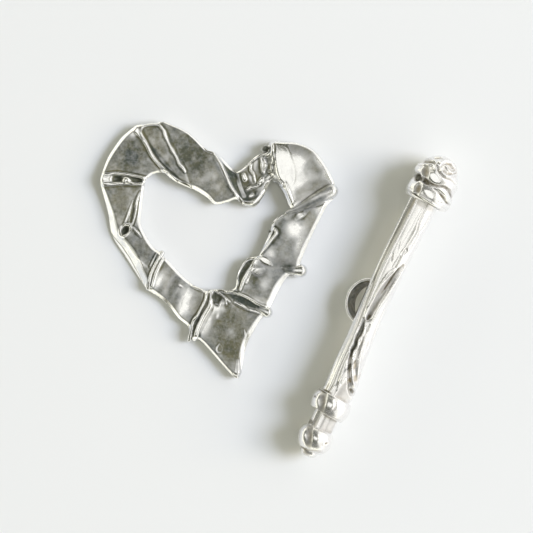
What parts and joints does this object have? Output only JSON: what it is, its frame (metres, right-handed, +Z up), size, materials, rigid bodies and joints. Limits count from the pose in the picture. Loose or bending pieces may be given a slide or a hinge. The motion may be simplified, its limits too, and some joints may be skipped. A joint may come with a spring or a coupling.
{
  "type": "toggle clasp",
  "caption": "Heart-shaped silver toggle clasp: an open ring of folded, wrapped sheet and a rolled bar with a soldered chain loop, laid side by side.",
  "frame": {"origin": "on the surface that the clasp lies on, under the middle of the whole part", "axes": "+X towards the bar's side, +Y towards the heart's lobes, +Z up out of the surface"},
  "size_m": [0.0418, 0.0393, 0.0057],
  "materials": {
    "heart_silver": "polished sterling silver with grey-brown patina in the folds",
    "bar_silver": "polished sterling silver with patina in the seam"
  },
  "bodies": {
    "root": {"heart_ring": "heart_silver", "toggle_bar": "bar_silver"}
  },
  "joints": []
}
